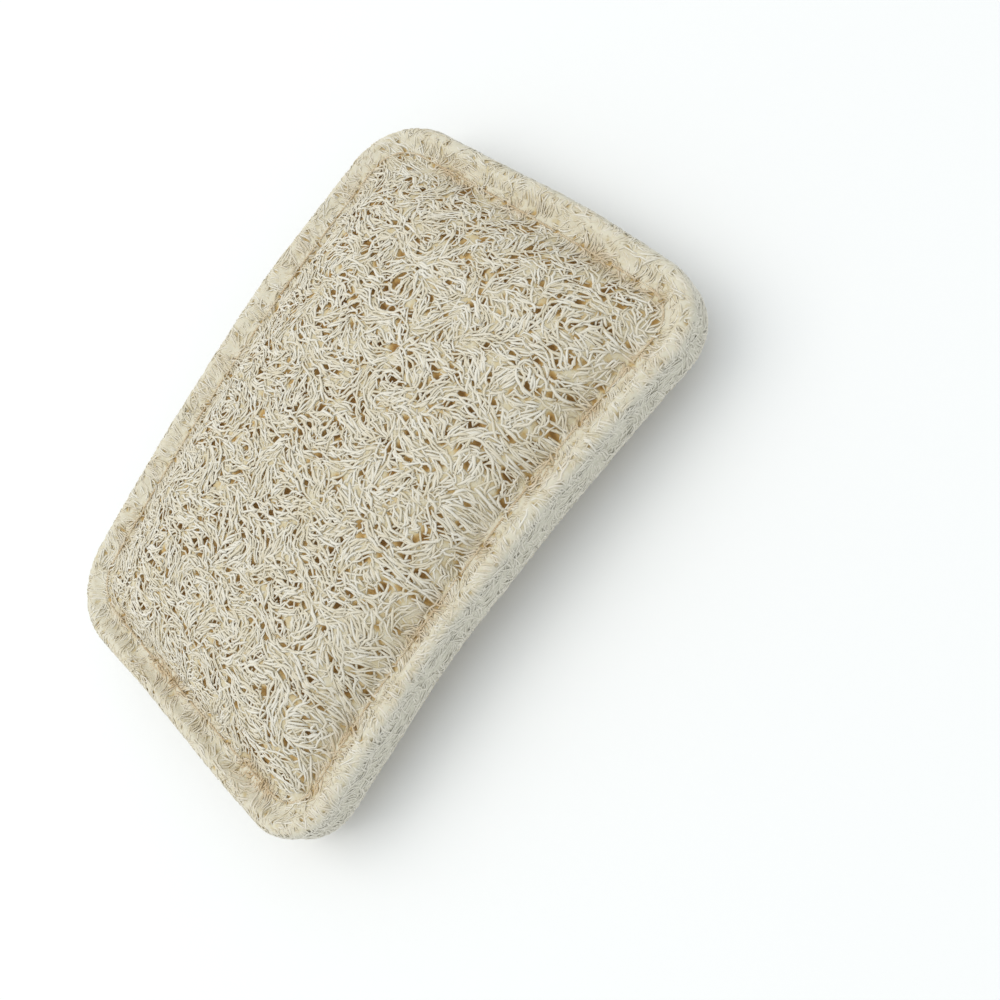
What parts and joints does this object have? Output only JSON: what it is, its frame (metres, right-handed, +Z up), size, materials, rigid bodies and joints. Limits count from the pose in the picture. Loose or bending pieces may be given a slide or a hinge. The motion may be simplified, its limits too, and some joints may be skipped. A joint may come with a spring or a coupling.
{
  "type": "natural loofah sponge",
  "caption": "Rectangular dish and body pad of pressed natural loofah, two fibre layers stitched together inside a rolled rim.",
  "frame": {"origin": "on the surface that the pad lies on, under its middle", "axes": "+X along the length, towards the slightly wider end; +Y across the width; +Z up through the thickness"},
  "size_m": [0.1326, 0.0929, 0.0281],
  "materials": {
    "loofah": "dry matte natural fibre",
    "loofah_under": "dry matte natural fibre",
    "thread": "matte spun thread"
  },
  "bodies": {
    "root": {"upper_layer": "loofah", "lower_layer": "loofah_under", "needle_thread": "thread", "bobbin_thread": "thread"}
  },
  "joints": []
}
